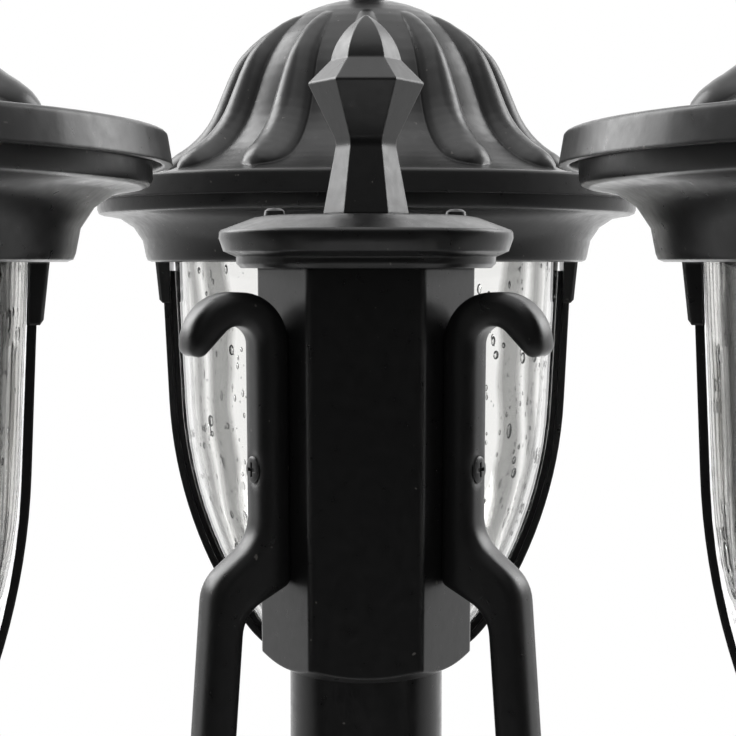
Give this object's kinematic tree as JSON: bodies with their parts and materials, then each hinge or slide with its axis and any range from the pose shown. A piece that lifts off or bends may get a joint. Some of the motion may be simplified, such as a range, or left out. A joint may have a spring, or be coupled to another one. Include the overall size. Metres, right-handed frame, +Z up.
{
  "type": "triple head lamp post",
  "caption": "Outdoor post light: a round pole with hooked scroll arms, lanterns with lobed bell roofs, four-rib cages and seeded glass bowls, and a hexagonal hub with a finial.",
  "frame": {"origin": "on the pole's axis at ground level, the underside of the base", "axes": "+Z up along the pole, -Y towards the open side between the front lanterns, +X to the right seen from there"},
  "size_m": [0.609, 0.5612, 2.2135],
  "materials": {
    "black_paint": "satin",
    "seeded_glass": "clear",
    "bulb_glass": "frosted",
    "nickel_cap": "satin",
    "steel": "satin",
    "rubber": "matte",
    "black_plastic": "matte"
  },
  "bodies": {
    "post": {"base_casting": "black_paint", "base_screws": "steel", "lower_pole": "black_paint", "pole_collar": "black_paint", "collar_screws": "steel", "upper_pole": "black_paint", "hub_body": "black_paint", "hub_cap": "black_paint", "cap_screws": "black_paint", "hub_finial": "black_paint", "finial_stud": "steel", "arm_screws": "black_paint", "arm_left": "black_paint", "cup_left": "black_paint", "cage_left": "black_paint", "glass_washer_left": "rubber", "glass_left": "seeded_glass", "stem_left": "steel", "stem_nut_left": "steel", "lampholder_left": "black_plastic", "body_left": "black_paint", "gasket_left": "rubber", "roof_strap_left": "steel", "roof_rod_left": "steel", "arm_right": "black_paint", "cup_right": "black_paint", "cage_right": "black_paint", "glass_washer_right": "rubber", "glass_right": "seeded_glass", "stem_right": "steel", "stem_nut_right": "steel", "lampholder_right": "black_plastic", "body_right": "black_paint", "gasket_right": "rubber", "roof_strap_right": "steel", "roof_rod_right": "steel", "arm_back": "black_paint", "cup_back": "black_paint", "cage_back": "black_paint", "glass_washer_back": "rubber", "glass_back": "seeded_glass", "stem_back": "steel", "stem_nut_back": "steel", "lampholder_back": "black_plastic", "body_back": "black_paint", "gasket_back": "rubber", "roof_strap_back": "steel", "roof_rod_back": "steel"},
    "lid_left": {"roof_left": "black_paint"},
    "nut_left": {"roof_knob_left": "black_paint"},
    "lamp_left": {"bulb_cap_left": "nickel_cap", "bulb_globe_left": "bulb_glass"},
    "lid_right": {"roof_right": "black_paint"},
    "nut_right": {"roof_knob_right": "black_paint"},
    "lamp_right": {"bulb_cap_right": "nickel_cap", "bulb_globe_right": "bulb_glass"},
    "lid_back": {"roof_back": "black_paint"},
    "nut_back": {"roof_knob_back": "black_paint"},
    "lamp_back": {"bulb_cap_back": "nickel_cap", "bulb_globe_back": "bulb_glass"}
  },
  "joints": [
    {"name": "roof_lift_left", "type": "slide", "parent": "post", "child": "lid_left", "axis": [0, 0, 1], "range_m": [0, 0.15]},
    {"name": "knob_turn_left", "type": "hinge", "parent": "lid_left", "child": "nut_left", "pos_m": [-0.1784, -0.103, 2.1855], "axis": [0, 0, 1], "continuous": true},
    {"name": "bulb_turn_left", "type": "hinge", "parent": "post", "child": "lamp_left", "pos_m": [-0.1784, -0.103, 1.918], "axis": [0, 0, 1], "continuous": true},
    {"name": "roof_lift_right", "type": "slide", "parent": "post", "child": "lid_right", "axis": [0, 0, 1], "range_m": [0, 0.15]},
    {"name": "knob_turn_right", "type": "hinge", "parent": "lid_right", "child": "nut_right", "pos_m": [0.1784, -0.103, 2.1855], "axis": [0, 0, 1], "continuous": true},
    {"name": "bulb_turn_right", "type": "hinge", "parent": "post", "child": "lamp_right", "pos_m": [0.1784, -0.103, 1.918], "axis": [0, 0, 1], "continuous": true},
    {"name": "roof_lift_back", "type": "slide", "parent": "post", "child": "lid_back", "axis": [0, 0, 1], "range_m": [0, 0.15]},
    {"name": "knob_turn_back", "type": "hinge", "parent": "lid_back", "child": "nut_back", "pos_m": [0, 0.206, 2.1855], "axis": [0, 0, 1], "continuous": true},
    {"name": "bulb_turn_back", "type": "hinge", "parent": "post", "child": "lamp_back", "pos_m": [0, 0.206, 1.918], "axis": [0, 0, 1], "continuous": true}
  ]
}
